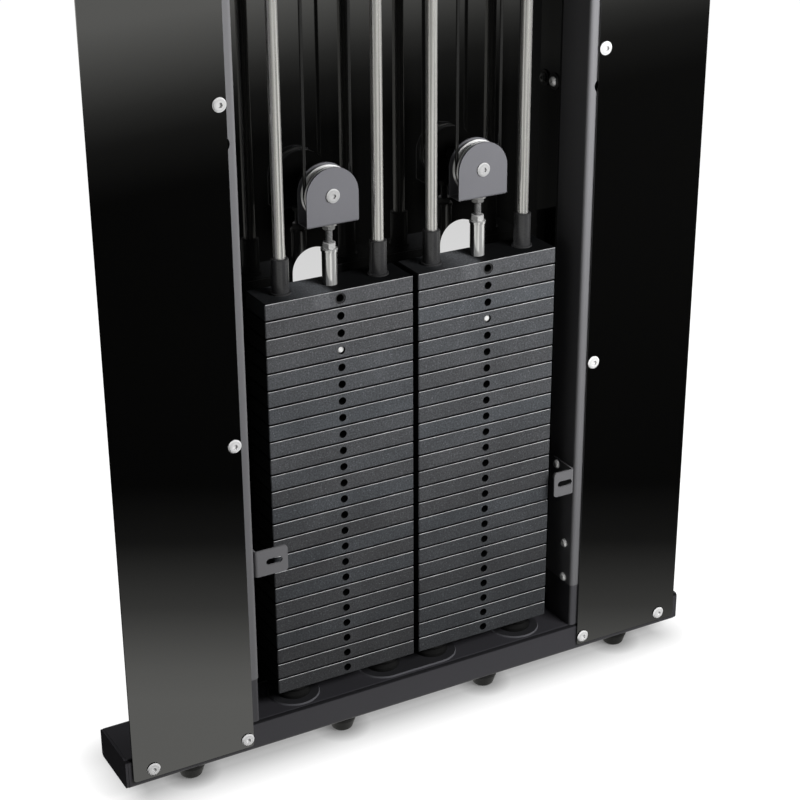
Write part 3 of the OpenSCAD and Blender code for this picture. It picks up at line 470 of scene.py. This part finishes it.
# rod_chrome: lengthwise stripes of painted reflection, and darker higher up as painted shade
ROD_CHROME = metal("rod_chrome", (0.95, 0.94, 0.91), 0.28, (1, 1, 0.008), 800, 0.05, 0.1, 0.26, metallic=0.76,
                   heights=(0.86, 1.06, 1, 0.92))
ROD_CHROME.reflection_stripes([(0.0, 1.0), (0.12, 1.0), (0.155, 0.55), (0.22, 0.62), (0.29, 0.82), (0.36, 1.0), (0.42, 1.0),
                  (0.46, 0.78), (0.54, 0.80), (0.62, 1.0), (1.0, 1.0)])
OWN = {
    # seat_coat and stub_coat: edge is a painted highlight on upper bevels, level and ends are painted shade, and the
    # stubs' lean is painted light from +X
    "rod_seats": powder("seat_coat", (0.030, 0.030, 0.033), 0.42, 1900, 0.12, 0.08, edge=3.0, level=0.7,
                        specular=0.2),
    "upright_stubs": powder("stub_coat", (0.067, 0.066, 0.072), 0.42, 1900, 0.12, 0.08, edge=2.0, ends=0.6,
                            lean=0.15, specular=0.2),
    "frame_screws": metal("dome_head", (0.93, 0.93, 0.92), 0.20, scale=900, metallic=0.2),
    "guide_rods": ROD_CHROME,
    # the bolt heads darker higher up, as painted shade
    "cover_bolts": button("bolt_head", (1.0, 1.0, 1.0), 0.38, 0.0, REAR_Y - 0.0044, (0.2, 1.0, 1, 0.72)),
}
OWN_EACH_SIDE = {
    "selector_pin": PIN_TIP,
    "selector_stem": STEM_CHROME,
    "sheave": sheave_metal(),
    "axle": button("axle_head", (0.68, 0.68, 0.68), 0.42, 0.3, YOKE_FRONT_Y - 0.0012),
    "stem_nuts": metal("nut_zinc", (0.80, 0.80, 0.79), 0.24, scale=1500, bump=0.05, spread=0.1, metallic=0.45,
                       heights=(0.772, 0.776, 1, 0.35)),
}
for side in SIDES:
    OWN.update({f"{side}_{piece}": t for piece, t in OWN_EACH_SIDE.items()})

slot_of = {s["node"]: s["material_slot"] for s in frame["record"]["subparts"]}
for name, obj in frame["nodes"].items():
    mat = OWN.get(name, MATS[slot_of[name]]).mat
    for s in obj.material_slots:
        s.material = mat
    if not obj.material_slots:
        obj.data.materials.append(mat)


# Pieces made again here
def mesh_piece(name, verts, faces, slot, body=None, smooth=True):
    me = bpy.data.meshes.new(name)
    me.from_pydata(verts, [], faces)
    me.validate()
    me.update()
    ob = bpy.data.objects.new(name, me)
    scene.collection.objects.link(ob)
    me.materials.append(MATS[slot].mat)
    if smooth:
        me.polygons.foreach_set("use_smooth", [True] * len(me.polygons))
    if body:
        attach(ob, body)
    return ob


def upright_tube(x, y, z0, z1, radius, sides=16, rings=24):
    """A closed tube along Z; radius is a number, or a function of the point's height and its turn from 0 to 1."""
    verts, faces = [], []
    for i in range(rings + 1):
        z = z0 + (z1 - z0) * i / rings
        for k in range(sides):
            q = 2 * math.pi * k / sides
            r = radius(z, k / sides) if callable(radius) else radius
            verts.append((x + r * math.cos(q), y + r * math.sin(q), z))
    for i in range(rings):
        for k in range(sides):
            k2 = (k + 1) % sides
            faces.append((i * sides + k, i * sides + k2, (i + 1) * sides + k2, (i + 1) * sides + k))
    faces.append(tuple(reversed(range(sides))))
    faces.append(tuple(rings * sides + k for k in range(sides)))
    return verts, faces


def cables(side):
    """The two falls, held by the frame, and the user's run, as round tubes in place of the CAD cables."""
    low, high = (Vector(c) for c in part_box(side + "_cable_falls"))
    low.z += LOOP_GAP
    y = (low.y + high.y) / 2
    for end, x in (("low_x", low.x + CABLE_R), ("high_x", high.x - CABLE_R)):
        ob = mesh_piece(f"{side}_fall_{end}", *upright_tube(x, y, low.z, high.z, CABLE_R), "cable_jacket", "frame")
        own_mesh(ob)
        if end == "low_x":
            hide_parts(side + "_cable_falls")
    low, high = (Vector(c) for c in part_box(side + "_user_cable"))
    x, y = (low.x + high.x) / 2, (low.y + high.y) / 2
    ob = mesh_piece(f"{side}_user_run", *upright_tube(x, y, low.z, high.z, CABLE_R), "cable_jacket")
    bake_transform(ob)
    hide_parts(side + "_user_cable")


def hanger_thread(side):
    """The threaded screw between the stem's head and the yoke."""
    low, high = (Vector(c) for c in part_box(side + "_hanger_screw"))
    c = (low + high) / 2
    radius = (high.x - low.x) / 2
    rings = int((high.z - low.z) / SCREW_PITCH * 8)

    def ridge(z, turn):
        phase = ((z - low.z) / SCREW_PITCH - turn) % 1
        return radius - SCREW_DEPTH * abs(2 * phase - 1)

    ob = mesh_piece(side + "_hanger_thread", *upright_tube(c.x, c.y, low.z, high.z, ridge, 28, rings), "zinc",
                    side + "_lift", smooth=False)
    ob.material_slots[0].material = SCREW.mat
    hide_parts(side + "_hanger_screw")


for side in SIDES:
    cables(side)
    hanger_thread(side)


# Floor, world and lamps
FLOOR_REACH, FLOOR_SIDES = 40.0, 48
PAPER = (0.2, 0.2, 0.2, 1)
MIRRORED_PAPER = (1.0, 1.0, 0.955)
BASE_HALF_X, BASE_HALF_Y = 0.44, 0.05  # the base's outline, less its soft edge
FEET_X, FEET_MID_Y, FEET_OUT_Y = (0.370, 0.124), -0.0135, 0.025
# tone of the painted shadow cast behind the tower
CAST_TONE = 0.56


def shadows(t, x, y):
    """The tone of white paper round the tower, with painted shadows: painted shade at the base and feet, and a painted
    soft shadow cast towards +Y.
    """
    out_x = t.most(t.minus(t.size(x), BASE_HALF_X), 0.0)
    out_y = t.most(t.minus(t.size(y), BASE_HALF_Y), 0.0)
    contact = t.ramp(t.span(t.distance(out_x, out_y), 0, 0.4, 0, 1), [(0.0, 0.36), (0.09, 0.70), (0.17, 0.93),
                                                                      (0.28, 1.0)])
    off_axis = t.size(t.minus(x, t.times(y, 0.55)))
    off_axis = t.math("DIVIDE", off_axis, t.plus(1.0, t.times(t.most(y, 0.0), 0.35)))
    along = t.most(t.span(y, 0.05, 0.3, 1, 0), t.span(y, 2.1, 3.6, CAST_TONE, 1))
    cast = t.most(t.span(off_axis, 0.30, 0.47, CAST_TONE, 1), along)
    from_row = t.size(t.minus(t.size(t.minus(y, FEET_MID_Y)), FEET_OUT_Y))
    from_feet = [t.distance(t.minus(t.size(x), foot_x), from_row) for foot_x in FEET_X]
    feet = t.span(t.math("MINIMUM", *from_feet), 0.014, 0.045, 0.4, 1)
    return t.tint(t.tint(contact, cast), feet)


def cloths(t, x, y):
    """The tone of the pale paper that gloss and metal mirror: black cloths lie across it, the same on either side
    of the tower when seen from that side."""
    away = t.size(y)
    across = t.times(x, t.math("SIGN", t.times(y, -1.0)))
    near = t.plus(away, t.times(t.plus(across, 0.25), 0.55))
    far = t.minus(away, t.times(t.minus(across, 1.0), 0.18))
    first = t.ramp(t.span(near, 0, 2, 0, 1), [(0.12, 1.0), (0.17, 0.86), (0.28, 0.33), (0.41, 0.055), (0.54, 0.0)])
    last = t.ramp(t.span(far, 0, 8, 0, 1), [(0.34, 0.0), (0.40, 0.06), (0.44, 0.2), (0.575, 1.0)])
    left = t.span(t.minus(across, t.times(away, 0.36)), -0.72, -0.56, 1, 0)
    right = t.span(t.minus(across, t.times(away, 0.80)), 0.60, 0.80, 0, 1)
    beside = t.most(left, right)
    open_floor = t.ramp(t.span(t.distance(x, y), 0, 8, 0, 1), [(0.19, 1.0), (0.27, 0.85), (0.39, 0.6), (0.66, 0.42)])
    tone = t.most(t.times(t.most(first, last), t.minus(1.0, beside)), t.times(beside, open_floor))

    # A strip at either end of the base, for its end plates
    wide = t.size(x)
    ends = t.times(t.span(wide, 0.46, 0.475, 0, 1), t.span(wide, 0.9, 1.1, 1, 0))
    ends = t.times(ends, t.span(away, 0.5, 0.9, 1, 0))
    ends = t.times(ends, t.most(t.math("LESS_THAN", x, 0.0), t.math("GREATER_THAN", y, 0.0)))
    tone = t.times(tone, t.span(ends, 0, 1, 1, 0.03))

    # A thinner cloth, which keeps the shroud's side flange dark
    along_x = t.times(t.span(across, -2.1, -1.75, 0, 1), t.span(across, -0.9, -0.7, 1, 0))
    along_y = t.times(t.span(away, 1.4, 1.7, 0, 1), t.span(away, 2.9, 3.3, 1, 0))
    return t.times(tone, t.span(t.times(along_x, along_y), 0, 1, 1, 0.3))


def make_floor():
    turns = [2 * math.pi * i / FLOOR_SIDES for i in range(FLOOR_SIDES)]
    verts = [(0, 0, 0)] + [(FLOOR_REACH * math.cos(q), FLOOR_REACH * math.sin(q), 0) for q in turns]
    faces = [(0, 1 + i, 1 + (i + 1) % FLOOR_SIDES) for i in range(FLOOR_SIDES)]
    me = bpy.data.meshes.new("floor")
    me.from_pydata(verts, [], faces)
    ob = bpy.data.objects.new("floor", me)
    scene.collection.objects.link(ob)
    t = Tree("floor")
    t.nt.nodes.remove(t.bsdf)
    place = t.split(t.node("ShaderNodeNewGeometry").outputs["Position"])
    x, y = place["X"], place["Y"]

    # The camera sees white paper with painted shadows besides the lamps' own on its diffuse part, gloss and metal
    # mirror the cloths, and all else meets plain paper
    paper = t.node("ShaderNodeBsdfDiffuse", Color=PAPER)
    glow = t.node("ShaderNodeEmission", Strength=1.0)
    t.link(shadows(t, x, y), glow.inputs["Color"])
    seen = t.node("ShaderNodeAddShader")
    t.fill(seen.inputs, (paper.outputs[0], glow.outputs[0]))
    mirrored = t.node("ShaderNodeEmission", Strength=1.0)
    t.link(t.tint(MIRRORED_PAPER, cloths(t, x, y)), mirrored.inputs["Color"])
    path = t.node("ShaderNodeLightPath").outputs
    plain_or_seen = t.mix_shader(path["Is Camera Ray"], paper.outputs[0], seen.outputs[0])
    every_ray = t.mix_shader(path["Is Glossy Ray"], plain_or_seen, mirrored.outputs[0])
    t.link(every_ray, t.out.inputs["Surface"])
    me.materials.append(t.mat)


def make_world():
    """White for the camera, a faint even light on the part, and for mirror rays a glow that is strongest low down."""
    world = bpy.data.worlds.new("world")
    scene.world = world
    world.use_nodes = True
    w = Nodes(world.node_tree)
    out = w.node("ShaderNodeOutputWorld")
    even = w.node("ShaderNodeBackground", Color=(1, 1, 1, 1), Strength=0.045)
    white = w.node("ShaderNodeBackground", Color=(1, 1, 1, 1), Strength=1.0)
    low_glow = w.node("ShaderNodeBackground")
    height = w.split(w.node("ShaderNodeTexCoord").outputs["Generated"])["Z"]
    w.link(w.span(height, 0.05, 0.45, 0.55, 0.06), low_glow.inputs["Strength"])
    path = w.node("ShaderNodeLightPath").outputs
    unseen = w.mix_shader(path["Is Glossy Ray"], even.outputs[0], low_glow.outputs[0])
    straight = w.most(path["Is Camera Ray"], path["Is Transmission Ray"])
    w.link(w.mix_shader(straight, unseen, white.outputs[0]), out.inputs["Surface"])


def lamp(name, place, aim, size, power):
    """A soft lamp that neither the camera nor mirror rays see."""
    data = bpy.data.lights.new(name, "AREA")
    data.shape = "RECTANGLE"
    data.size, data.size_y = size
    data.energy = power
    ob = bpy.data.objects.new(name, data)
    scene.collection.objects.link(ob)
    ob.location = place
    ob.rotation_euler = (Vector(aim) - Vector(place)).to_track_quat("-Z", "Y").to_euler()
    ob.visible_camera = False
    ob.visible_glossy = False


make_floor()
make_world()
lamp("key", (0.70, -1.32, 1.30), (0.1, 0, 0.85), (0.9, 0.7), 39)
lamp("fill", (-2.2, -0.9, 1.0), (-0.3, 0, 0.6), (1.0, 1.2), 1.5)
lamp("user_key", (-1.3, 1.50, 0.9), (0, 0, 0.9), (0.9, 0.7), 30)
lamp("side_key", (2.5, 0.9, 1.2), (0.45, 0, 0.9), (0.9, 0.9), 32)

scene.view_settings.view_transform = "Standard"
